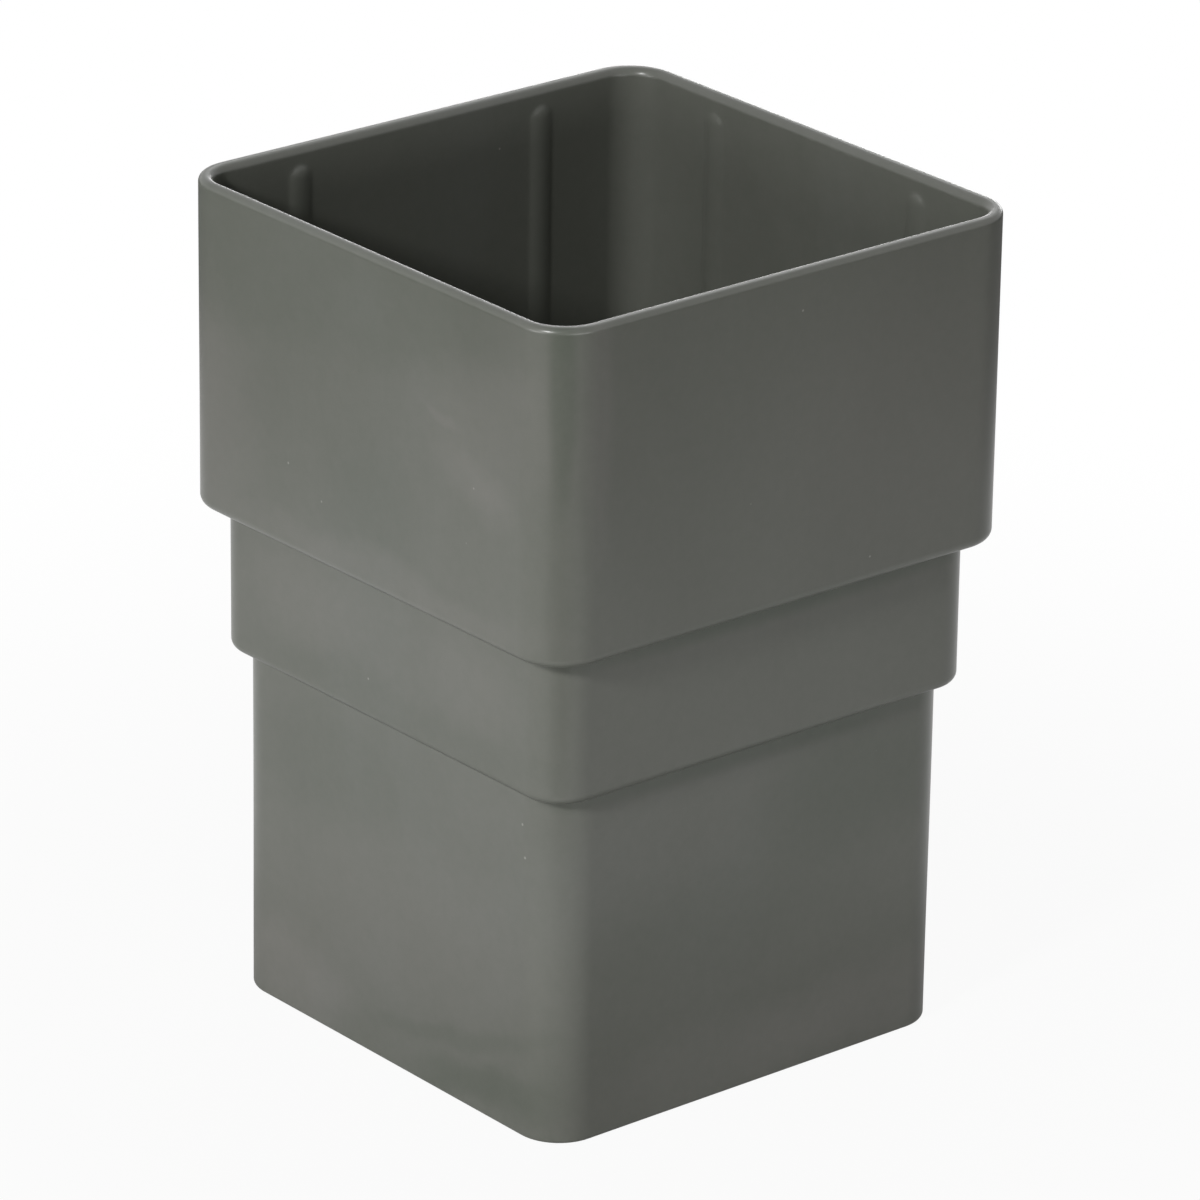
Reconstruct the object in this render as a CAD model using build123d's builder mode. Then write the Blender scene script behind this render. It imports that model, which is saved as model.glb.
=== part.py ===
from build123d import *
import os

# Square downpipe socket: one PVC-U moulding, open right through.
# Millimetres, +Z up, origin at the centre of the spigot end, which the part stands on.
# The wide mouth is on top and takes the pipe from above; the spigot below slides into the next pipe.

# The square rainwater pipe the moulding is made for
pipe_width = 65.0  # outside of the pipe, across the flats
pipe_wall = 1.5  # the wall of the pipe

# Fits to that pipe
socket_play = 1.0  # gap on each side between the pipe and the plain wall of the socket
spigot_play = 0.2  # gap on each side between the spigot and the bore of the pipe

# The moulding's own section
wall = 1.9  # one even wall, socket, collar and spigot alike
socket_bore_corner = 4.4  # inner corner of the socket, round the corner of the pipe
collar_corner = 5.2  # outer corner of the collar
spigot_corner = 5.8  # outer corner of the spigot

# Lengths, each along the axis
spigot_length = 44.5  # from the open end to the underside of the collar
collar_length = 18.6  # from there to the underside of the socket
socket_length = 41.4  # from there to the rim

# Roundings
rim_crown = 0.06  # narrow flat left along the top of the rim
rim_outside = 0.7  # outer edge of the rim
step_round = 1.2  # outer edge of each step's underside
step_root = 0.3  # where an underside runs into the wall below it
level_left = 0.1  # least width of a step or ledge that stays level between its roundings
ledge_round = 0.9  # upper edge of each inner ledge, which eases the water and the pipe's end over it
foot_round = 0.5  # outer edge of the spigot end, to lead it into the pipe below

# Grip ribs, two on each wall of the socket
rib_width = 3.4  # across the foot of the rib
rib_height = 0.5  # how far it stands proud of the wall
rib_spacing = 37.0  # between the two ribs of one wall
rib_drop = 2.3  # from the rim down to the rounded top of the rib
rib_bed = 0.5  # how deep the rib is merged into the wall behind it

# Worked out from the sizes above
socket_bore = pipe_width + 2 * socket_play
socket_width = socket_bore + 2 * wall
socket_corner = socket_bore_corner + wall
collar_width = pipe_width
collar_bore = collar_width - 2 * wall
spigot_width = pipe_width - 2 * (pipe_wall + spigot_play)
spigot_bore = spigot_width - 2 * wall

collar_foot = spigot_length
socket_foot = spigot_length + collar_length
rim_top = socket_foot + socket_length
collar_ledge = collar_foot + wall  # inner ledge above the spigot
pipe_stop = socket_foot + wall  # inner ledge that the pipe from above rests on
rim_inside = wall - rim_crown - rim_outside  # the rest of the wall, as a lead-in for the pipe

# A rib is a slice of a rod whose axis lies behind the wall, closed by a ball at the top
rib_radius = (rib_width**2 / 4 + rib_height**2) / (2 * rib_height)
rib_axis = socket_bore / 2 + rib_radius - rib_height
rib_top = rim_top - rib_drop - rib_width / 2


def shelf(sides, height):
    """The level face of the moulding at one height."""
    return sides.filter_by(Axis.Z).filter_by_position(Axis.Z, height - 0.01, height + 0.01)[0]


def rounding(radius, wide, narrow, root=0.0):
    """A rounding that leaves a little of the shelf between two widths level, beside its root."""
    return min(radius, (wide - narrow) / 2 - root - level_left)


with BuildPart() as rib:
    # The rod runs from the pipe stop up to the centre of its ball end
    with BuildSketch(Plane.XY.offset(pipe_stop - rib_bed)):
        with Locations((rib_axis, 0)):
            Circle(rib_radius)
    extrude(amount=rib_top - pipe_stop + rib_bed)
    with Locations((rib_axis, 0, rib_top)):
        Sphere(rib_radius)
    # Only the slice inside the socket is kept, with its bed in the wall
    with BuildSketch(Plane.XY.offset(pipe_stop - rib_bed)):
        with Locations((socket_bore / 2 + rib_bed, 0)):
            Rectangle(rib_height + 2 * rib_bed, rib_width, align=(Align.MAX, Align.CENTER))
    extrude(amount=rim_top - pipe_stop, mode=Mode.INTERSECT)

with BuildPart() as downpipe_socket:
    # The three outer sections, one above the other
    with BuildSketch(Plane.XY):
        RectangleRounded(spigot_width, spigot_width, spigot_corner)
    extrude(amount=spigot_length)
    with BuildSketch(Plane.XY.offset(collar_foot)):
        RectangleRounded(collar_width, collar_width, collar_corner)
    extrude(amount=collar_length)
    with BuildSketch(Plane.XY.offset(socket_foot)):
        RectangleRounded(socket_width, socket_width, socket_corner)
    extrude(amount=socket_length)

    # The hollow follows the outside at one wall thickness
    with BuildSketch(Plane.XY):
        RectangleRounded(spigot_bore, spigot_bore, spigot_corner - wall)
    extrude(amount=rim_top, mode=Mode.SUBTRACT)
    with BuildSketch(Plane.XY.offset(collar_ledge)):
        RectangleRounded(collar_bore, collar_bore, collar_corner - wall)
    extrude(amount=rim_top - collar_ledge, mode=Mode.SUBTRACT)
    with BuildSketch(Plane.XY.offset(pipe_stop)):
        RectangleRounded(socket_bore, socket_bore, socket_bore_corner)
    extrude(amount=rim_top - pipe_stop, mode=Mode.SUBTRACT)

    # Each underside is rounded at its outer edge and again where it runs into the wall below
    for foot, above, below in (
        (socket_foot, socket_width, collar_width),
        (collar_foot, collar_width, spigot_width),
    ):
        fillet(shelf(faces(), foot).outer_wire().edges(), rounding(step_round, above, below, step_root))
        fillet(shelf(faces(), foot).inner_wires()[0].edges(), step_root)

    # Each inner ledge is rounded at its upper edge and meets the wall above it square, as a seat
    for ledge, above, below in (
        (pipe_stop, socket_bore, collar_bore),
        (collar_ledge, collar_bore, spigot_bore),
    ):
        fillet(shelf(faces(), ledge).inner_wires()[0].edges(), rounding(ledge_round, above, below))

    # The rim is rounded right over, more on the inside, and the spigot end only eased outside
    fillet(shelf(faces(), rim_top).outer_wire().edges(), rim_outside)
    fillet(shelf(faces(), rim_top).inner_wires()[0].edges(), rim_inside)
    fillet(shelf(faces(), 0).outer_wire().edges(), foot_round)

    # Two ribs on each of the four walls
    with Locations(
        [
            Location((0, 0, 0), (0, 0, 90 * turn)) * Location((0, side * rib_spacing / 2, 0))
            for turn in range(4)
            for side in (-1, 1)
        ]
    ):
        add(rib.part)

downpipe_socket.part.label = "downpipe_socket"

os.makedirs("parts", exist_ok=True)
export_step(downpipe_socket.part, "parts/downpipe_socket.step")
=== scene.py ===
"""A square downpipe socket in olive-grey PVC-U: one moulding on a pale studio floor.

The moulding is one closed surface, a profile carried round a rounded square. It stands
for the plain CAD solid and keeps its sizes. Sizes are in metres, in the CAD's own frame:
+Z up, the origin at the centre of the spigot end that the socket stands on.
"""

import logging
from dataclasses import dataclass, field
from enum import Enum
from typing import Any

import bpy
import numpy as np
from mathutils import Matrix


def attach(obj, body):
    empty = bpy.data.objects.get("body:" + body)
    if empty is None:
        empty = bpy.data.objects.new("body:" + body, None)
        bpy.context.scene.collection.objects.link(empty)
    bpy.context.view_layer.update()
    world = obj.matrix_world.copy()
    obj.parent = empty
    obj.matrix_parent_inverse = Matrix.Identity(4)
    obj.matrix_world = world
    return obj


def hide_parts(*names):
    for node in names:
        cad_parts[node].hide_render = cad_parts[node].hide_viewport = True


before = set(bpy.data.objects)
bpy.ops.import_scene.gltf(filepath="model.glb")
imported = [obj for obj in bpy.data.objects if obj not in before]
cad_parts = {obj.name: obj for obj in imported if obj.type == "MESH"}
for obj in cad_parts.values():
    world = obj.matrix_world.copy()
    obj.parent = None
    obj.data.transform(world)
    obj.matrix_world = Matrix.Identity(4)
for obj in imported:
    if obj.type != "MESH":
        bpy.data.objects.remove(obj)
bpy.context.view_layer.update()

log = logging.getLogger("downpipe_socket")

MM = 0.001
WHITE = (1.0, 1.0, 1.0, 1.0)

# The Mix node's sockets share their names, so its share, two colours and result go by number
MIX_SHARE, MIX_FIRST, MIX_SECOND, MIX_COLOUR = 0, 6, 7, 2

# A noise hardly leaves this range, so it is spread from here to its full swing
NOISE_LOW, NOISE_HIGH = 0.3, 0.7


def linear(hex_colour: str) -> tuple[float, float, float, float]:
    """Turn an sRGB hex colour into the linear colour that a shader takes.

    Args:
        hex_colour: Six hex digits, with or without a leading #.

    Returns:
        Red, green, blue and an alpha of 1.
    """
    digits = hex_colour.lstrip("#")
    srgb = np.array([int(digits[i : i + 2], 16) for i in (0, 2, 4)]) / 255.0
    light = np.where(srgb <= 0.04045, srgb / 12.92, ((srgb + 0.055) / 1.055) ** 2.4)
    return (*map(float, light), 1.0)


def add_node(
    tree: bpy.types.NodeTree,
    kind: str,
    sockets: dict[str | int, Any] | None = None,
    **settings: Any,
) -> bpy.types.Node:
    """Add one node, set it up and wire its inputs.

    Args:
        tree: The node tree to add it to.
        kind: The node's type name.
        sockets: For each input, by name or number, a plain value or an output to link from.
        **settings: Properties of the node itself.

    Returns:
        The new node.
    """
    node = tree.nodes.new(kind)
    for name, value in settings.items():
        setattr(node, name, value)
    for name, value in (sockets or {}).items():
        if isinstance(value, bpy.types.NodeSocket):
            tree.links.new(value, node.inputs[name])
        else:
            node.inputs[name].default_value = value
    return node


def empty_material(name: str) -> tuple[bpy.types.Material, bpy.types.NodeTree]:
    """Make a node material with nothing in its tree.

    Args:
        name: The material's name.

    Returns:
        The material and its node tree.
    """
    material = bpy.data.materials.new(name)
    material.use_nodes = True
    material.node_tree.nodes.clear()
    return material, material.node_tree


def mirrored_ray(tree: bpy.types.NodeTree, rays: bpy.types.NodeOutputs) -> bpy.types.NodeSocket:
    """Tell a reflection, or a clear view through, from the other rays.

    Args:
        tree: The node tree to work in.
        rays: The outputs of the tree's Light Path node.

    Returns:
        One for such a ray and nothing for the others.
    """
    return add_node(tree, "ShaderNodeMath", {
        0: rays["Is Glossy Ray"], 1: rays["Is Transmission Ray"],
    }, operation="MAXIMUM").outputs[0]


def frame_matrix(right: np.ndarray, up: np.ndarray, back: np.ndarray, place: np.ndarray) -> Matrix:
    """Work out the matrix of an object that looks along minus its back axis.

    Args:
        right: The direction of its own X.
        up: The direction of its own Y.
        back: The direction of its own Z.
        place: Where it stands.

    Returns:
        The matrix that puts it there.
    """
    rows = np.eye(4)
    rows[:3, :4] = np.stack([right, up, back, place], axis=1)
    return Matrix(rows.tolist())


def grid_mesh(name: str, points: np.ndarray, closed: bool) -> bpy.types.Object:
    """Make a mesh object from a grid of points, with a quad between each four neighbours.

    Args:
        name: The object's name.
        points: Rows x columns x 3 places, in metres.
        closed: Whether the last row joins the first, and the last column the first.

    Returns:
        The object, linked into the scene and smooth shaded.
    """
    rows, columns = points.shape[:2]
    row = np.arange(rows if closed else rows - 1)[:, None]
    column = np.arange(columns if closed else columns - 1)[None, :]
    next_row, next_column = (row + 1) % rows, (column + 1) % columns
    quads = np.stack(
        [
            row * columns + column,
            row * columns + next_column,
            next_row * columns + next_column,
            next_row * columns + column,
        ],
        axis=-1,
    ).reshape(-1, 4)
    mesh = bpy.data.meshes.new(name)
    mesh.vertices.add(rows * columns)
    mesh.vertices.foreach_set("co", points.reshape(-1).astype(np.float32))
    mesh.loops.add(quads.size)
    mesh.loops.foreach_set("vertex_index", quads.reshape(-1).astype(np.int32))
    mesh.polygons.add(len(quads))
    mesh.polygons.foreach_set("loop_start", np.arange(0, quads.size, 4, dtype=np.int32))
    mesh.polygons.foreach_set("use_smooth", np.ones(len(quads), bool))
    mesh.update(calc_edges=True)
    mesh.validate()
    piece = bpy.data.objects.new(name, mesh)
    bpy.context.scene.collection.objects.link(piece)
    return piece


class Side(Enum):
    """Which half of the mould formed a stretch of the surface."""

    CAVITY = 0.0
    CORE = 1.0


@dataclass(frozen=True)
class Fineness:
    """How closely the moulding's surface is divided.

    Stations along a stretch go by their spacing in metres, and roundings by their
    number of steps. All are fine enough for a smooth outline in a close view.
    """

    outer_wall: float = 2.0 * MM
    inner_wall: float = 2.5 * MM
    shelf: float = 0.5 * MM
    foot: float = 0.4 * MM
    above_ribs: float = 0.35 * MM
    rib_ends: float = 0.17 * MM
    foot_steps: int = 6
    root_steps: int = 5
    step_steps: int = 9
    rim_steps: int = 9
    seat_steps: int = 4
    ledge_steps: int = 7
    edge_steps: int = 3
    corner_steps: int = 18


@dataclass
class Profile:
    """The moulding's wall in section, as stations round its closed outline.

    A station is a rounded square: half its width, the distance of its corner centres
    from the middle planes, and its height. The extra stations of a straight stretch
    stand hold_back from its ends, or a share of a step where the stretch is short.
    """

    hold_back: float = 0.15 * MM
    hold_back_share: float = 0.25
    half: list[np.ndarray] = field(default_factory=list)
    centre: list[np.ndarray] = field(default_factory=list)
    height: list[np.ndarray] = field(default_factory=list)
    side: list[np.ndarray] = field(default_factory=list)

    def run(self, start: tuple[float, float, float], stop: tuple[float, float, float],
            spacing: float, side: Side) -> None:
        """Add a straight stretch: all three values go evenly from start to stop.

        The stretch keeps its first station and leaves the last to what follows. A
        second station stands close to each end, so that the level of the wall is held
        right up to the roundings beside it.

        Args:
            start: Half width, corner centre and height where it begins.
            stop: The same where it ends.
            spacing: About how far apart its stations are.
            side: The half of the mould that formed it.
        """
        a, b = np.array(start), np.array(stop)
        length = float(np.hypot(b[0] - a[0], b[2] - a[2]))
        steps = max(2, int(round(length / spacing)))
        close = min(self.hold_back / length, self.hold_back_share / steps)
        share = np.concatenate([[0.0, close], np.arange(1, steps) / steps, [1.0 - close]])
        self._add(a + share[:, None] * (b - a), side)

    def turn(self, middle: tuple[float, float], radius: float, angles: tuple[float, float],
             centre: float, steps: int, side: Side) -> None:
        """Add a rounding: a circular arc in section, at one corner centre.

        Args:
            middle: Half width and height of the arc's own centre.
            radius: The arc's radius.
            angles: Where it starts and stops, in degrees from straight outwards.
            centre: The corner centre that its stations share.
            steps: How many steps it takes.
            side: The half of the mould that formed it.
        """
        angle = np.radians(np.linspace(*angles, steps + 1)[:-1])
        half = middle[0] + radius * np.cos(angle)
        height = middle[1] + radius * np.sin(angle)
        self._add(np.stack([half, np.full_like(half, centre), height], axis=1), side)

    def _add(self, stations: np.ndarray, side: Side) -> None:
        """Append a stretch of the section.

        Args:
            stations: Half width, corner centre and height of each.
            side: The half of the mould that formed them.
        """
        self.half.append(stations[:, 0])
        self.centre.append(stations[:, 1])
        self.height.append(stations[:, 2])
        self.side.append(np.full(len(stations), side.value))

    def arrays(self) -> tuple[np.ndarray, ...]:
        """Half width, corner centre, height and side of every station, as whole arrays."""
        return tuple(np.concatenate(part) for part in (self.half, self.centre, self.height, self.side))


@dataclass(frozen=True)
class GripRibs:
    """The two ribs on each inner wall of the mouth, each a slice of a rod with a ball end.

    Columns of the mesh stand close together over each rib and a margin beside it, and
    the last of them stays a little inside the end of the wall's flat.
    """

    width: float = 3.4 * MM
    height: float = 0.34 * MM
    spacing: float = 37.0 * MM
    ball_below_rim: float = 4.0 * MM
    root: float = 0.12 * MM
    margin: float = 0.6 * MM
    flat_margin: float = 0.15 * MM
    columns_inside: int = 8
    columns_over: int = 24
    columns_outside: int = 5

    @property
    def radius(self) -> float:
        """Radius of the rod whose slice, this wide and this high, is the rib."""
        return (self.width**2 / 4 + self.height**2) / (2 * self.height)

    def rise(self, across: np.ndarray, height: np.ndarray, rim_top: float) -> np.ndarray:
        """Work out how far the ribs stand proud of the wall.

        The rod's surface is the root of its radius squared less the squared distance
        from its axis, or above the ball's centre from that centre. The smooth greater
        of that and the wall gives the small radius at the rib's foot.

        Args:
            across: Place along the wall from its middle.
            height: Height of each station.
            rim_top: Height of the rim.

        Returns:
            The rise for each station and each place across, in metres.
        """
        beside = np.abs(across)[None, :] - self.spacing / 2
        above = np.maximum(height - (rim_top - self.ball_below_rim), 0.0)[:, None]
        rod = np.sqrt(np.maximum(self.radius**2 - beside**2 - above**2, 0.0))
        proud = rod - (self.radius - self.height)
        return (proud + np.sqrt(proud**2 + self.root**2)) / 2

    def columns_across(self, reach: float) -> np.ndarray:
        """Place the columns across half a wall, close together over the rib.

        Args:
            reach: Where the wall's flat ends.

        Returns:
            Places from the middle, which is left out, to just inside the flat's end.
        """
        inside = self.spacing / 2 - self.width / 2 - self.margin
        outside = self.spacing / 2 + self.width / 2 + self.margin
        return np.concatenate([
            np.linspace(0, inside, self.columns_inside + 1)[1:-1],
            np.linspace(inside, outside, self.columns_over + 1),
            np.linspace(outside, reach - self.flat_margin, self.columns_outside + 1)[1:],
        ])


@dataclass(frozen=True)
class CooledWalls:
    """How the walls of a moulding settle as they cool: they sink a little and waver.

    Each wave has its radians per metre along X, Y and Z, its phase and its weight.
    """

    sink: float = 0.10 * MM
    waver: float = 0.035 * MM
    waves: tuple[tuple[float, float, float], ...] = (
        (95, 60, 70), (-70, 110, 130), (150, -90, 60), (60, 140, -180),
    )
    phases: tuple[float, ...] = (0.4, 2.1, 4.0, 1.3)
    weights: tuple[float, ...] = (0.4, 0.3, 0.2, 0.1)

    def shift(self, points: np.ndarray, along: np.ndarray, height: np.ndarray,
              bands: np.ndarray) -> np.ndarray:
        """Work out how far the cooled walls lie from their drawn place.

        The middle of each flat sinks by a squared cosine across the wall and half a
        sine up each band of it, and all of it bends by a few slow sine waves through
        space.

        Args:
            points: Rows x columns x 3 places on the even surface.
            along: Each column's place along its wall, as a share of the flat.
            height: Height of each station.
            bands: The heights between which the walls sink, from the lowest up.

        Returns:
            The distance outwards for each point, in metres.
        """
        bell = np.cos(np.clip(along, -1, 1) * np.pi / 2) ** 2
        band = np.clip(np.searchsorted(bands, height, side="right") - 1, 0, len(bands) - 2)
        share = (height - bands[band]) / (bands[band + 1] - bands[band])
        sink = -self.sink * bell[None, :] * np.sin(np.clip(share, 0, 1) * np.pi)[:, None]
        turns = points @ np.array(self.waves).T + np.array(self.phases)
        return sink + self.waver * (np.sin(turns) @ np.array(self.weights))


@dataclass(frozen=True)
class PaintedLightAndFlowMark:
    """A soft-edged patch that paints the moulding a little paler or darker: mostly painted light, shade
    and reflection, the rest the plastic's own uneven tone.

    Its middle and its half-lengths are in millimetres, and its tilt about Y in degrees.
    The lift is the share by which it brightens the colour, and edge the share of the
    half-lengths over which it fades. A straight mark keeps an even edge, for the painted shade along a
    step, and the others waver.
    """

    middle: tuple[float, float, float]
    reach: tuple[float, float, float]
    lift: float
    tilt: float = 0.0
    edge: float = 0.8
    straight: bool = False

    def add(self, tree: bpy.types.NodeTree, place: bpy.types.NodeSocket,
            total: bpy.types.NodeSocket) -> bpy.types.NodeSocket:
        """Add the patch to the lift of the others.

        The lift goes by a smooth step from nothing on the patch's outline, where its
        own coordinates have a length of 1, to its full amount further in.

        Args:
            tree: The material's node tree.
            place: Place on the moulding, in metres.
            total: The lift so far.

        Returns:
            The lift with this patch.
        """
        own = self._own_place(tree, place)
        away = add_node(tree, "ShaderNodeVectorMath", {0: own}, operation="LENGTH").outputs["Value"]
        lift = add_node(tree, "ShaderNodeMapRange", {
            "Value": away, "From Min": 1.0, "From Max": 1.0 - self.edge,
            "To Min": 0.0, "To Max": self.lift,
        }, interpolation_type="SMOOTHSTEP").outputs[0]
        return add_node(tree, "ShaderNodeMath", {0: lift, 1: total}, operation="ADD").outputs[0]

    def _own_place(self, tree: bpy.types.NodeTree, place: bpy.types.NodeSocket) -> bpy.types.NodeSocket:
        """Turn a place into the patch's own coordinates.

        They start at its middle, lie along its tilt and count in its half-lengths. A
        patch that isn't tilted takes one multiply and add, which renders faster.

        Args:
            tree: The material's node tree.
            place: Place on the moulding, in metres.

        Returns:
            The same place in the patch's own coordinates.
        """
        middle, reach = np.array(self.middle) * MM, np.array(self.reach) * MM
        if self.tilt == 0:
            return add_node(tree, "ShaderNodeVectorMath", {
                0: place, 1: tuple(1 / reach), 2: tuple(-middle / reach),
            }, operation="MULTIPLY_ADD").outputs[0]
        return add_node(tree, "ShaderNodeMapping", {
            "Vector": place, "Location": tuple(middle), "Scale": tuple(reach),
            "Rotation": (0.0, float(np.radians(self.tilt)), 0.0),
        }, vector_type="TEXTURE").outputs[0]


# Painted light, shade and reflection on the moulding's walls, with some uneven tone of the plastic's
# own
PAINTED_LIGHT_AND_FLOW_MARKS = (
    # The mouth's wall on the -Y side: a darker belt under the rim, then pale and dark patches of
    # painted light and reflection below it
    PaintedLightAndFlowMark((0, -35, 107), (70, 9, 19), -0.08, tilt=-11, edge=0.35),
    PaintedLightAndFlowMark((-33, -35, 77), (18, 9, 22), 0.22),
    PaintedLightAndFlowMark((2, -35, 72), (13, 9, 15), -0.12),
    PaintedLightAndFlowMark((30, -35, 100), (9, 9, 9), 0.10),
    # Painted reflection: a feathered pale patch near the corner of that wall, and a pale band along the
    # foot of the wall over the step's rounding
    PaintedLightAndFlowMark((15, -35, 88.5), (5, 9, 1.2), 0.12, tilt=8),
    PaintedLightAndFlowMark((20, -35, 83), (9, 9, 4), 0.12, tilt=12),
    PaintedLightAndFlowMark((25, -35, 80.5), (6, 9, 5), 0.12),
    PaintedLightAndFlowMark((24, -35, 90), (20, 9, 11), 0.12),
    PaintedLightAndFlowMark((4, -35, 65.5), (45, 9, 3.5), 0.13),
    # The collar's wall on the -Y side: pale patches of painted light, and a painted shade along the
    # lower step
    PaintedLightAndFlowMark((-16, -33, 56), (16, 9, 8), 0.12),
    PaintedLightAndFlowMark((17, -33, 56), (13, 9, 8), 0.11),
    PaintedLightAndFlowMark((2, -33, 47.5), (45, 9, 4.5), -0.09),
    # The spigot's wall on the -Y side: a painted shade under the lower step, painted light lower down,
    # and two darker streaks near the foot, a painted reflection of the shaded floor
    PaintedLightAndFlowMark((-10, -31, 36), (28, 9, 11), -0.10, tilt=-12),
    PaintedLightAndFlowMark((2, -31, 18), (48, 9, 16), 0.13, tilt=-8),
    PaintedLightAndFlowMark((-22, -31, 5), (20, 9, 9), 0.24),
    PaintedLightAndFlowMark((13, -31, 8.5), (24, 9, 2.2), -0.12, tilt=-15),
    PaintedLightAndFlowMark((18, -31, 3.5), (20, 9, 4), -0.18, tilt=-12),
    # A dark and a pale streak down the corner between -Y and +X, a painted reflection of the floor
    PaintedLightAndFlowMark((33.9, -33.2, 97), (2.2, 2.2, 19), -0.20, edge=0.6),
    PaintedLightAndFlowMark((35.4, -28.8, 94), (2.6, 2.6, 24), 0.16),
    # The walls on the +X side: painted light on the mouth, a painted shade under each step, and painted
    # shade and light on the spigot
    PaintedLightAndFlowMark((35, 22, 84), (9, 36, 30), 0.15),
    PaintedLightAndFlowMark((34, 0, 62.2), (9, 48, 2.6), -0.37, straight=True),
    PaintedLightAndFlowMark((32, 0, 43.7), (9, 48, 2.4), -0.28, straight=True),
    PaintedLightAndFlowMark((31, 16, 35), (9, 24, 12), -0.20),
    PaintedLightAndFlowMark((31, -4, 24), (9, 34, 10), -0.09),
    PaintedLightAndFlowMark((31, 20, 5), (9, 30, 9), 0.20),
    PaintedLightAndFlowMark((31, -8, 4), (9, 30, 9), 0.12),
)


@dataclass(frozen=True)
class SatinPvcu:
    """Rigid PVC-U, injection moulded in a fine satin-finished tool.

    To the eye: an even olive grey with hardly any grain, soft broad highlights that tighten at a low
    angle, and slow unevenness where the plastic flowed and cooled. Single marks over that paint light,
    shade and reflection into the colour.
    Lengths are in metres and measure one whole period of a pattern.
    """

    name: str = "moulded_satin_pvcu"
    body: str = "#6A6C65"
    ior: float = 1.53
    roughness: float = 0.30
    roughness_swing: float = 0.02
    polish_length: float = 60.8 * MM

    # Drifts about half as long as a wall is wide, drawn out down the wall as the plastic flowed
    flow_light: str = "#6E706A"
    flow_dark: str = "#666861"
    flow_length: float = 38 * MM
    flow_squeeze: float = 0.55
    flow_stops: tuple[float, float, float] = (0.30, 0.5, 0.72)

    # Single marks, mostly painted light, shade and reflection, with edges that waver by a millimetre or
    # so across and more down the wall
    marks: tuple[PaintedLightAndFlowMark, ...] = PAINTED_LIGHT_AND_FLOW_MARKS
    mark_waver: tuple[float, float, float] = (1.5 * MM, 1.5 * MM, 7.0 * MM)
    mark_waver_length: float = 12 * MM
    mark_tint: tuple[float, float, float] = (1.0, 0.8, 1.0)

    # Pigment mottle: about 0.2 mm in the plastic, drawn coarser so that it shows
    mottle_length: float = 1.6 * MM
    mottle_lift: float = 0.035

    # Dust specks of under half a millimetre, a few on each wall
    dust: str = "#A9AAA2"
    dust_cover: float = 0.7
    dust_spacing: float = 7 * MM
    dust_radius: float = 0.22 * MM

    # Ripple of the cooled wall, and the tool's grain: about 0.1 mm, drawn coarser to show
    ripple_length: float = 24 * MM
    ripple_height: float = 0.05 * MM
    grain_length: float = 0.45 * MM
    grain_height: float = 0.0035 * MM

    # Moves the patterns off the middle planes, where they would start alike
    offset: tuple[float, float, float] = (11 * MM, -7 * MM, 3 * MM)

    def material(self) -> bpy.types.Material:
        """Build the finish as a node material on Object coordinates.

        Returns:
            The material.
        """
        material, tree = empty_material(self.name)
        plain = add_node(tree, "ShaderNodeTexCoord").outputs["Object"]
        place = add_node(tree, "ShaderNodeMapping", {
            "Vector": plain, "Location": self.offset,
        }).outputs[0]
        colour = self._marked(tree, plain, place, self._drifts(tree, place))
        shader = add_node(tree, "ShaderNodeBsdfPrincipled", {
            "Base Color": self._dusted(tree, place, colour),
            "Roughness": self._polish(tree, place),
            "Normal": self._relief(tree, place),
            "IOR": self.ior,
        })
        add_node(tree, "ShaderNodeOutputMaterial", {"Surface": shader.outputs[0]})
        return material

    def _noise(self, tree: bpy.types.NodeTree, place: bpy.types.NodeSocket, length: float,
               detail: float, roughness: float, distortion: float = 0.0) -> bpy.types.NodeOutputs:
        """Add a noise of one length.

        Args:
            tree: The material's node tree.
            place: Where the noise is read.
            length: The length of its slowest waves, in metres.
            detail: How many finer layers it has.
            roughness: How strong each layer is beside the one before.
            distortion: How far its waves are bent.

        Returns:
            The noise's outputs, Fac and Color.
        """
        return add_node(tree, "ShaderNodeTexNoise", {
            "Vector": place, "Scale": 1 / length, "Detail": detail,
            "Roughness": roughness, "Distortion": distortion,
        }).outputs

    def _spread(self, tree: bpy.types.NodeTree, noise: bpy.types.NodeSocket, middle: float,
                swing: float) -> bpy.types.NodeSocket:
        """Spread a noise evenly over the values from middle - swing to middle + swing."""
        return add_node(tree, "ShaderNodeMapRange", {
            "Value": noise, "From Min": NOISE_LOW, "From Max": NOISE_HIGH,
            "To Min": middle - swing, "To Max": middle + swing,
        }).outputs[0]

    def _drifts(self, tree: bpy.types.NodeTree, place: bpy.types.NodeSocket) -> bpy.types.NodeSocket:
        """Colour the plastic with its slow drifts.

        Args:
            tree: The material's node tree.
            place: Where the patterns are read.

        Returns:
            The colour.
        """
        drawn = add_node(tree, "ShaderNodeMapping", {
            "Vector": place, "Scale": (1.0, 1.0, self.flow_squeeze),
        }).outputs[0]
        flow = self._noise(tree, drawn, self.flow_length, detail=3.0, roughness=0.45, distortion=0.6)
        colour = add_node(tree, "ShaderNodeValToRGB", {"Fac": flow["Fac"]})
        ramp = colour.color_ramp
        ramp.interpolation = "EASE"
        ramp.elements.new(self.flow_stops[1])
        shades = (self.flow_dark, self.body, self.flow_light)
        for stop, position, shade in zip(ramp.elements, self.flow_stops, shades):
            stop.position, stop.color = position, linear(shade)
        return colour.outputs["Color"]

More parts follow.
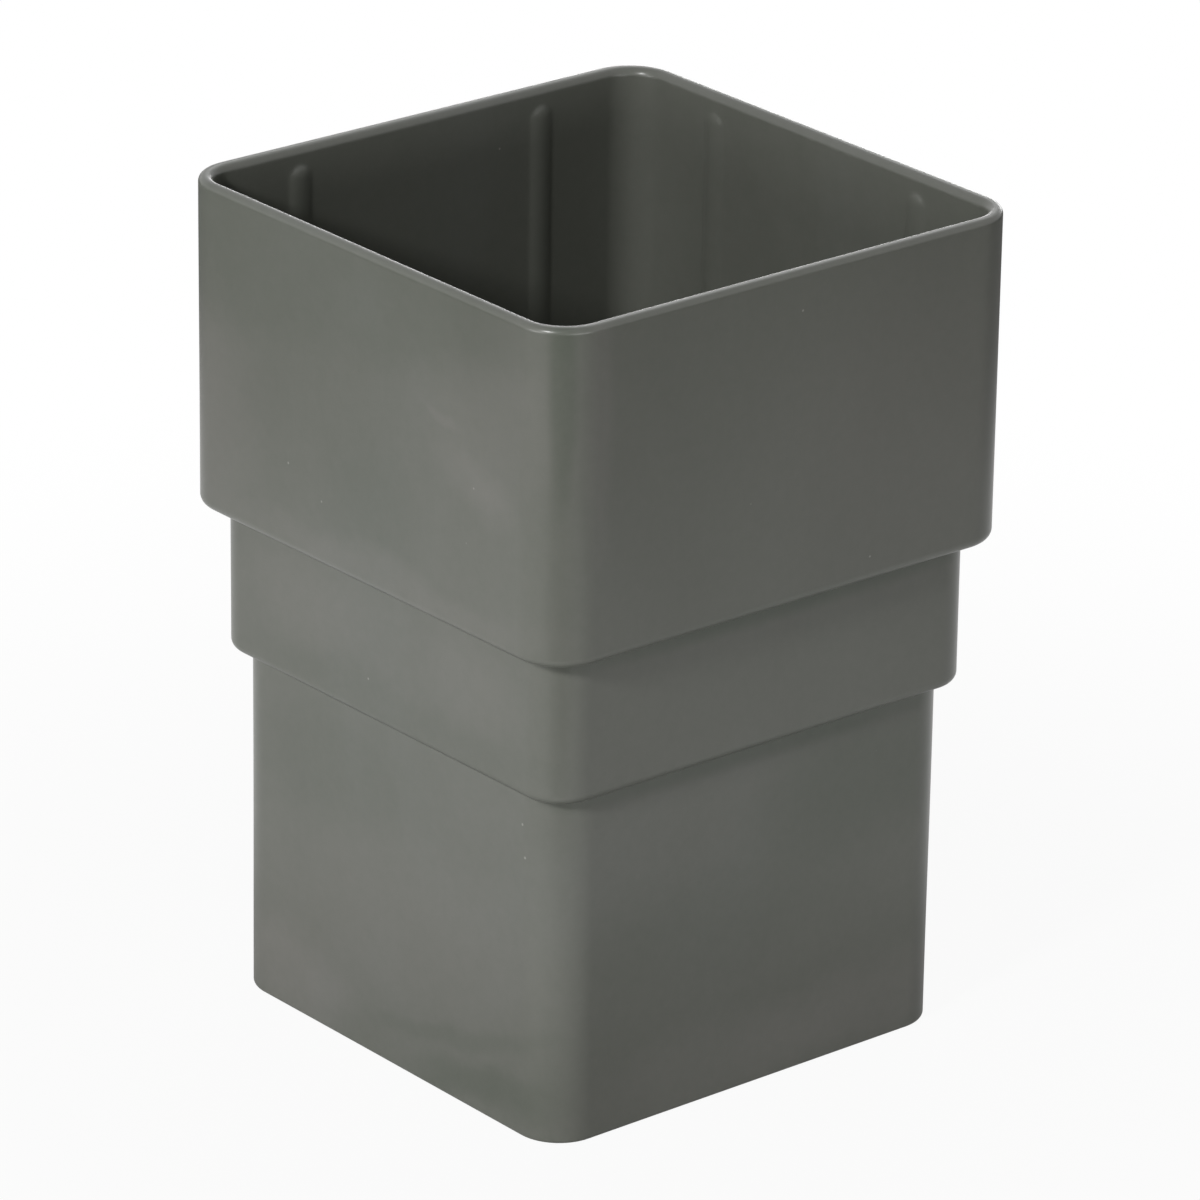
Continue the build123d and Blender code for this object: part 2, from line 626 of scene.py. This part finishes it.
    def _marked(self, tree: bpy.types.NodeTree, plain: bpy.types.NodeSocket,
                place: bpy.types.NodeSocket, colour: bpy.types.NodeSocket) -> bpy.types.NodeSocket:
        """Brighten and darken the colour by the mottle and by the single marks, which are mostly
        painted light, shade and reflection.

        Args:
            tree: The material's node tree.
            plain: Place on the moulding.
            place: Where the patterns are read.
            colour: The colour so far.

        Returns:
            The colour with its marks.
        """
        waver = self._noise(tree, place, self.mark_waver_length, detail=3.0, roughness=0.5)["Color"]
        level = add_node(tree, "ShaderNodeVectorMath", {
            0: waver, 1: (0.5, 0.5, 0.5),
        }, operation="SUBTRACT").outputs[0]
        moved = add_node(tree, "ShaderNodeVectorMath", {
            0: level, 1: self.mark_waver, 2: plain,
        }, operation="MULTIPLY_ADD").outputs[0]
        mottle = self._noise(tree, place, self.mottle_length, detail=3.0, roughness=0.7)["Fac"]
        total = self._spread(tree, mottle, 0.0, self.mottle_lift)
        for mark in self.marks:
            total = mark.add(tree, plain if mark.straight else moved, total)
        gain = add_node(tree, "ShaderNodeVectorMath", {
            0: total, 1: self.mark_tint, 2: (1.0, 1.0, 1.0),
        }, operation="MULTIPLY_ADD").outputs[0]
        return add_node(tree, "ShaderNodeVectorMath", {
            0: colour, 1: gain,
        }, operation="MULTIPLY").outputs[0]

    def _dusted(self, tree: bpy.types.NodeTree, place: bpy.types.NodeSocket,
                colour: bpy.types.NodeSocket) -> bpy.types.NodeSocket:
        """Lay a few pale specks where a cell's point happens to lie in the surface.

        Args:
            tree: The material's node tree.
            place: Where the patterns are read.
            colour: The colour under the dust.

        Returns:
            The colour with its dust.
        """
        cells = add_node(tree, "ShaderNodeTexVoronoi", {
            "Vector": place, "Scale": 1 / self.dust_spacing, "Randomness": 1.0,
        }).outputs["Distance"]
        limit = self.dust_radius / self.dust_spacing
        speck = add_node(tree, "ShaderNodeMapRange", {
            "Value": cells, "From Min": limit, "From Max": limit * 0.5,
            "To Min": 0.0, "To Max": self.dust_cover,
        }).outputs[0]
        return add_node(tree, "ShaderNodeMix", {
            MIX_SHARE: speck, MIX_FIRST: colour, MIX_SECOND: linear(self.dust),
        }, data_type="RGBA").outputs[MIX_COLOUR]

    def _polish(self, tree: bpy.types.NodeTree, place: bpy.types.NodeSocket) -> bpy.types.NodeSocket:
        """Roughness: the tool's finish is a little glossier in some places than in others."""
        polish = self._noise(tree, place, self.polish_length, detail=4.0, roughness=0.55)["Fac"]
        return self._spread(tree, polish, self.roughness, self.roughness_swing)

    def _relief(self, tree: bpy.types.NodeTree, place: bpy.types.NodeSocket) -> bpy.types.NodeSocket:
        """Raise the ripple of the cooled walls, and over it the fine grain of the tool.

        Args:
            tree: The material's node tree.
            place: Where the patterns are read.

        Returns:
            The normal.
        """
        ripple = self._noise(tree, place, self.ripple_length, detail=1.0, roughness=0.4)["Fac"]
        rippled = add_node(tree, "ShaderNodeBump", {
            "Height": ripple, "Strength": 1.0, "Distance": self.ripple_height,
        }).outputs[0]
        grain = self._noise(tree, place, self.grain_length, detail=2.0, roughness=0.6)["Fac"]
        return add_node(tree, "ShaderNodeBump", {
            "Height": grain, "Strength": 1.0, "Distance": self.grain_height, "Normal": rippled,
        }).outputs[0]


@dataclass
class SocketMoulding:
    """The whole moulding: spigot, collar and mouth, open right through.

    A half is half an outside width, and a centre is how far the corner centres of that
    section stand from the middle planes. Closer stations of the inner wall reach from
    above_ball over the tip of a rib's ball end down to below_ball under its centre.
    """

    wall: float = 1.9 * MM
    spigot_half: float = 30.8 * MM
    spigot_centre: float = 25.0 * MM
    collar_half: float = 32.5 * MM
    collar_centre: float = 27.3 * MM
    mouth_half: float = 35.4 * MM
    mouth_centre: float = 29.1 * MM
    collar_foot: float = 44.5 * MM
    mouth_foot: float = 63.1 * MM
    rim_top: float = 104.5 * MM
    rim_outside: float = 0.8 * MM
    rim_inside: float = 1.04 * MM
    step_round: float = 1.2 * MM
    step_root: float = 0.3 * MM
    ledge_round: float = 0.9 * MM
    ledge_root: float = 0.3 * MM
    foot_round: float = 0.5 * MM
    foot_edge: float = 0.15 * MM
    above_ball: float = 0.4 * MM
    below_ball: float = 0.2 * MM
    ribs: GripRibs = field(default_factory=GripRibs)
    walls: CooledWalls = field(default_factory=CooledWalls)
    fine: Fineness = field(default_factory=Fineness)
    finish: SatinPvcu = field(default_factory=SatinPvcu)

    def profile(self) -> tuple[np.ndarray, ...]:
        """Work out the section, round its closed outline.

        Returns:
            Half width, corner centre, height and side of each station.
        """
        line = Profile()
        self._outside(line)
        self._rim(line)
        self._inside(line)
        return line.arrays()

    def _outside(self, line: Profile) -> None:
        """Add the outside, from the spigot end up past both steps to the rim.

        Args:
            line: The section to add to.
        """
        fine, side, step, root = self.fine, Side.CAVITY, self.step_round, self.step_root
        low = self.foot_round
        line.turn((self.spigot_half - low, low), low, (-90, 0),
                  self.spigot_centre, fine.foot_steps, side)
        for half, centre, high, above, above_centre in (
            (self.spigot_half, self.spigot_centre, self.collar_foot,
             self.collar_half, self.collar_centre),
            (self.collar_half, self.collar_centre, self.mouth_foot,
             self.mouth_half, self.mouth_centre),
        ):
            line.run((half, centre, low), (half, centre, high - root), fine.outer_wall, side)
            line.turn((half + root, high - root), root, (180, 90), centre, fine.root_steps, side)
            line.run((half + root, centre, high), (above - step, above_centre, high), fine.shelf, side)
            line.turn((above - step, high + step), step, (-90, 0), above_centre, fine.step_steps, side)
            low = high + step
        rim_foot = self.rim_top - self.rim_outside
        line.run((self.mouth_half, self.mouth_centre, low),
                 (self.mouth_half, self.mouth_centre, rim_foot), fine.outer_wall, side)

    def _rim(self, line: Profile) -> None:
        """Add the rim, rounded right over in two arcs with a narrow crown between them.

        Args:
            line: The section to add to.
        """
        outer, inner, steps = self.rim_outside, self.rim_inside, self.fine.rim_steps
        line.turn((self.mouth_half - outer, self.rim_top - outer), outer, (0, 90),
                  self.mouth_centre, steps, Side.CAVITY)
        line.turn((self.mouth_half - self.wall + inner, self.rim_top - inner), inner, (90, 180),
                  self.mouth_centre, steps, Side.CORE)

    def _inside(self, line: Profile) -> None:
        """Add the inside, down past the ribs' ball ends and both ledges, and the spigot end.

        Args:
            line: The section to add to.
        """
        fine, side, wall = self.fine, Side.CORE, self.wall
        seat, ease = self.ledge_root, self.ledge_round
        bore, centre = self.mouth_half - wall, self.mouth_centre
        ball = self.rim_top - self.ribs.ball_below_rim
        ball_top, top = ball + self.ribs.width / 2 + self.above_ball, ball - self.below_ball
        line.run((bore, centre, self.rim_top - self.rim_inside), (bore, centre, ball_top),
                 fine.above_ribs, side)
        line.run((bore, centre, ball_top), (bore, centre, top), fine.rib_ends, side)
        for half, centre, ledge, below, below_centre in (
            (bore, self.mouth_centre, self.mouth_foot + wall,
             self.collar_half - wall, self.collar_centre),
            (self.collar_half - wall, self.collar_centre, self.collar_foot + wall,
             self.spigot_half - wall, self.spigot_centre),
        ):
            line.run((half, centre, top), (half, centre, ledge + seat), fine.inner_wall, side)
            line.turn((half - seat, ledge + seat), seat, (0, -90), centre, fine.seat_steps, side)
            line.run((half - seat, centre, ledge), (below + ease, below_centre, ledge),
                     fine.shelf, side)
            line.turn((below + ease, ledge - ease), ease, (90, 180),
                      below_centre, fine.ledge_steps, side)
            top = ledge - ease
        bore, centre, edge = self.spigot_half - wall, self.spigot_centre, self.foot_edge
        line.run((bore, centre, top), (bore, centre, edge), fine.inner_wall, side)
        line.turn((bore + edge, edge), edge, (180, 270), centre, fine.edge_steps, side)
        line.run((bore + edge, centre, 0.0), (self.spigot_half - self.foot_round, centre, 0.0),
                 fine.foot, Side.CAVITY)

    def columns(self) -> tuple[np.ndarray, np.ndarray, np.ndarray]:
        """Work out the columns round a station: four flats and four quarter circles.

        A point of a station is its corner centre times the column's first direction,
        plus its corner radius times the second.

        Returns:
            The first directions, the second directions, and each column's place along
            its wall as a share of the flat, past 1 on the corners.
        """
        half_flat = self.ribs.columns_across(self.mouth_centre) / self.mouth_centre
        share = np.concatenate([-half_flat[::-1], [0.0], half_flat])
        angle = np.linspace(0, np.pi / 2, self.fine.corner_steps + 1)
        flat_foot = np.stack([np.ones_like(share), share], axis=1)
        flat_out = np.stack([np.ones_like(share), np.zeros_like(share)], axis=1)
        bend_foot = np.ones((len(angle), 2))
        bend_out = np.stack([np.cos(angle), np.sin(angle)], axis=1)
        foot, out = np.concatenate([flat_foot, bend_foot]), np.concatenate([flat_out, bend_out])
        along = np.concatenate([share, np.full(len(angle), 2.0)])
        quarter_turn = np.array([[0, 1], [-1, 0]])
        turns = [np.linalg.matrix_power(quarter_turn, k) for k in range(4)]
        return (
            np.concatenate([foot @ turn for turn in turns]),
            np.concatenate([out @ turn for turn in turns]),
            np.tile(along, len(turns)),
        )

    def build(self) -> bpy.types.Object:
        """Carry the profile round the rounded square, raise the ribs and make the mesh.

        Returns:
            The moulding.
        """
        half, centre, height, side = self.profile()
        foot, out, along = self.columns()
        plan = centre[:, None, None] * foot + (half - centre)[:, None, None] * out
        level = np.broadcast_to(height[:, None, None], plan.shape[:2] + (1,))
        points = np.concatenate([plan, level], axis=2)
        bands = np.array([0.0, self.collar_foot, self.mouth_foot, self.rim_top])
        rise = self.ribs.rise(along * self.mouth_centre, height, self.rim_top)
        shift = self.walls.shift(points, along, height, bands)
        shift -= self._ribbed(half, height, side)[:, None] * rise
        points[:, :, :2] += shift[:, :, None] * out[None, :, :]
        return grid_mesh("socket_moulding", points, closed=True)

    def _ribbed(self, half: np.ndarray, height: np.ndarray, side: np.ndarray) -> np.ndarray:
        """Find where the ribs stand: on the mouth's wall, fading out along the ledge below it.

        Args:
            half: Half width of each station.
            height: Height of each station.
            side: The half of the mould that formed it.

        Returns:
            The share of the ribs' full height for each station.
        """
        hair = 1e-6 * MM  # so that stations on the limits themselves count
        bore, ledge = self.mouth_half - self.wall, self.mouth_foot + self.wall
        ledge_end = self.collar_half - self.wall + self.ledge_round
        above_ledge = (side == Side.CORE.value) & (height >= ledge - hair)
        below_rim = height < self.rim_top - self.rim_inside + hair
        return np.clip((half - ledge_end) / (bore - ledge_end), 0, 1) * (above_ledge & below_rim)

    def dress(self, piece: bpy.types.Object) -> None:
        """Give the moulding its finish and put it in the place of the CAD solid.

        Args:
            piece: The moulding.
        """
        piece.data.materials.append(self.finish.material())
        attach(piece, "root")
        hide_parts("downpipe_socket")


@dataclass(frozen=True)
class MattFloorPaint:
    """Matt white emulsion, rolled on a studio floor.

    To the eye: a pale even ground without a sheen, which keeps the socket's soft shadow and runs out to
    white. A reflection sees instead a painted pool of light round the socket, a glow with the socket's
    shade painted in the middle, dimmer floor beyond, and a painted darker place in front.
    """

    name: str = "matt_white_floor_paint"
    colour: str = "#DADAD8"

    # For the camera the paint is lifted to this share of white, and to white further out
    own_light: float = 0.94
    fade_from: float = 0.05
    fade_to: float = 0.22

    # The painted pool of light that reflections see: distance from the socket's middle in metres, and
    # strength
    pool: tuple[tuple[float, float], ...] = ((0.045, 0.35), (0.10, 0.85), (0.20, 0.85), (0.27, 0.15))

    # The painted shade in it: its middle, the radii between which it fades, and what it leaves
    shade_at: tuple[float, float, float] = (0.150, -0.140, 0.0)
    shade_from: float = 0.04
    shade_to: float = 0.10
    shade_left: float = 0.2

    def material(self) -> bpy.types.Material:
        """Build the paint as a node material on Object coordinates.

        Returns:
            The material.
        """
        material, tree = empty_material(self.name)
        place = add_node(tree, "ShaderNodeTexCoord").outputs["Object"]
        far = add_node(tree, "ShaderNodeVectorMath", {0: place}, operation="LENGTH").outputs["Value"]
        rays = add_node(tree, "ShaderNodeLightPath").outputs

        matt = add_node(tree, "ShaderNodeBsdfDiffuse", {"Color": linear(self.colour)}).outputs[0]
        white = add_node(tree, "ShaderNodeEmission", {"Color": WHITE, "Strength": 1.0}).outputs[0]
        whiter = add_node(tree, "ShaderNodeMapRange", {
            "Value": far, "From Min": self.fade_from, "From Max": self.fade_to,
            "To Min": self.own_light, "To Max": 1.0,
        }, interpolation_type="SMOOTHSTEP").outputs[0]
        share = add_node(tree, "ShaderNodeMath", {
            0: rays["Is Camera Ray"], 1: whiter,
        }, operation="MULTIPLY").outputs[0]
        seen = add_node(tree, "ShaderNodeMixShader", {0: share, 1: matt, 2: white}).outputs[0]

        mix = add_node(tree, "ShaderNodeMixShader", {
            0: mirrored_ray(tree, rays), 1: seen, 2: self._pool_of_light(tree, place, far),
        }).outputs[0]
        add_node(tree, "ShaderNodeOutputMaterial", {"Surface": mix})
        return material

    def _pool_of_light(self, tree: bpy.types.NodeTree, place: bpy.types.NodeSocket,
                       far: bpy.types.NodeSocket) -> bpy.types.NodeSocket:
        """Paint a glowing pool of light, with its shade, on the floor that reflections see.

        Args:
            tree: The paint's node tree.
            place: Place on the floor.
            far: Its distance from the socket's middle.

        Returns:
            The shader.
        """
        pool = add_node(tree, "ShaderNodeValToRGB", {"Fac": far})
        ramp = pool.color_ramp
        ramp.interpolation = "EASE"
        for radius, _ in self.pool[1:-1]:
            ramp.elements.new(radius)
        for stop, (radius, strength) in zip(ramp.elements, self.pool):
            stop.position, stop.color = radius, (strength, strength, strength, 1.0)
        beside = add_node(tree, "ShaderNodeVectorMath", {
            0: place, 1: self.shade_at,
        }, operation="DISTANCE").outputs["Value"]
        shade = add_node(tree, "ShaderNodeMapRange", {
            "Value": beside, "From Min": self.shade_from, "From Max": self.shade_to,
            "To Min": self.shade_left, "To Max": 1.0,
        }, interpolation_type="SMOOTHSTEP").outputs[0]
        return add_node(tree, "ShaderNodeEmission", {
            "Color": pool.outputs["Color"], "Strength": shade,
        }).outputs[0]


@dataclass(frozen=True)
class StudioFloor:
    """A level floor, wide enough to fill any view of the socket."""

    reach: float = 3.0
    finish: MattFloorPaint = field(default_factory=MattFloorPaint)

    def build(self) -> bpy.types.Object:
        """Make the floor, one level square from minus reach to reach, and paint it.

        Returns:
            The floor.
        """
        x, y = np.meshgrid([-self.reach, self.reach], [-self.reach, self.reach])
        floor = grid_mesh("studio_floor", np.stack([x, y, np.zeros_like(x)], axis=-1), closed=False)
        floor.data.materials.append(self.finish.material())
        return floor


@dataclass(frozen=True)
class Softbox:
    """A soft studio lamp, aimed at the socket.

    Its bearing goes round the socket in degrees from -Y towards +X, and its elevation
    up from level.
    """

    name: str
    bearing: float
    elevation: float
    distance: float
    width: float
    height: float
    watts: float
    aim: tuple[float, float, float] = (0.0, 0.0, 0.055)

    def build(self) -> bpy.types.Object:
        """Place the lamp on its bearing, turned to face the aim point.

        Returns:
            The lamp.
        """
        bearing, elevation = np.radians([self.bearing, self.elevation])
        level = np.cos(elevation)
        back = np.array([np.sin(bearing) * level, -np.cos(bearing) * level, np.sin(elevation)])
        right = np.cross([0, 0, 1], back)
        right /= np.linalg.norm(right)
        up, place = np.cross(back, right), np.array(self.aim) + self.distance * back
        lamp = bpy.data.lights.new(self.name, "AREA")
        lamp.shape, lamp.energy = "RECTANGLE", self.watts
        lamp.size, lamp.size_y = self.width, self.height
        stand = bpy.data.objects.new(self.name, lamp)
        stand.matrix_world = frame_matrix(right, up, back, place)
        bpy.context.scene.collection.objects.link(stand)
        return stand


LAMPS = (
    # A small key over the -Y wall, and a low strip that evens each of the two near walls
    Softbox("key_lamp", 16.0, 30.0, distance=0.9, width=0.12, height=0.12, watts=3.9),
    Softbox("front_strip_light", -6.0, 5.0, distance=0.9, width=0.6, height=0.2, watts=2.0),
    Softbox("side_strip_light", 82.0, 4.0, distance=1.0, width=0.8, height=0.16, watts=1.9),
    # From behind: light for the rim, and for the two far walls as they are seen from there
    Softbox("high_back_softbox", 215.0, 50.0, distance=1.0, width=0.6, height=0.6, watts=1.0),
    Softbox("low_back_softbox", 225.0, 35.0, distance=1.0, width=0.3, height=0.3, watts=0.4),
    Softbox("back_strip_light", 218.0, 4.0, distance=1.0, width=0.6, height=0.14, watts=1.5),
)


@dataclass(frozen=True)
class StudioAir:
    """The world: a dim even light on the socket, seen as white by the camera and by reflections."""

    ambient: float = 0.08

    def build(self) -> bpy.types.World:
        """Make the world and set it.

        Returns:
            The world.
        """
        world = bpy.data.worlds.new("studio_air")
        world.use_nodes = True
        tree = world.node_tree
        tree.nodes.clear()
        light, white = (
            add_node(tree, "ShaderNodeBackground", {"Color": WHITE, "Strength": strength}).outputs[0]
            for strength in (self.ambient, 1.0)
        )
        rays = add_node(tree, "ShaderNodeLightPath").outputs
        seen = add_node(tree, "ShaderNodeMath", {
            0: rays["Is Camera Ray"], 1: mirrored_ray(tree, rays),
        }, operation="MAXIMUM").outputs[0]
        mix = add_node(tree, "ShaderNodeMixShader", {0: seen, 1: light, 2: white}).outputs[0]
        add_node(tree, "ShaderNodeOutputWorld", {"Surface": mix})
        bpy.context.scene.world = world
        return world


@dataclass(frozen=True)
class StudioCamera:
    """The camera at the photograph's place, found from the socket's edges in the picture."""

    place: tuple[float, float, float] = (0.656089, -0.546286, 0.402802)
    right: tuple[float, float, float] = (0.636070, 0.771502, 0.014142)
    up: tuple[float, float, float] = (-0.301258, 0.231418, 0.925035)
    back: tuple[float, float, float] = (0.710393, -0.592647, 0.379619)
    focal_pixels: float = 7693.28
    image_pixels: float = 1200.0
    sensor: float = 36.0
    nearest: float = 0.01
    farthest: float = 20.0

    def build(self) -> bpy.types.Object:
        """Make the camera and set it as the scene's.

        Returns:
            The camera.
        """
        lens = bpy.data.cameras.new("studio_camera")
        lens.sensor_fit, lens.sensor_width = "HORIZONTAL", self.sensor
        lens.lens = self.sensor * self.focal_pixels / self.image_pixels
        lens.clip_start, lens.clip_end = self.nearest, self.farthest
        camera = bpy.data.objects.new("studio_camera", lens)
        camera.matrix_world = frame_matrix(*map(np.array, (self.right, self.up, self.back, self.place)))
        bpy.context.scene.collection.objects.link(camera)
        bpy.context.scene.camera = camera
        return camera


def main() -> None:
    logging.basicConfig(level=logging.INFO, format="%(name)s: %(message)s")
    bpy.context.scene.view_settings.view_transform = "Standard"

    moulding = SocketMoulding()
    piece = moulding.build()
    moulding.dress(piece)
    log.info("%s: %d faces", piece.name, len(piece.data.polygons))

    log.info("%s: the floor", StudioFloor().build().name)
    log.info("%s: the world", StudioAir().build().name)
    for lamp in LAMPS:
        log.info("%s: %.1f W", lamp.build().name, lamp.watts)
    log.info("studio_camera: %.1f mm lens", StudioCamera().build().data.lens)


if __name__ == "__main__":
    main()
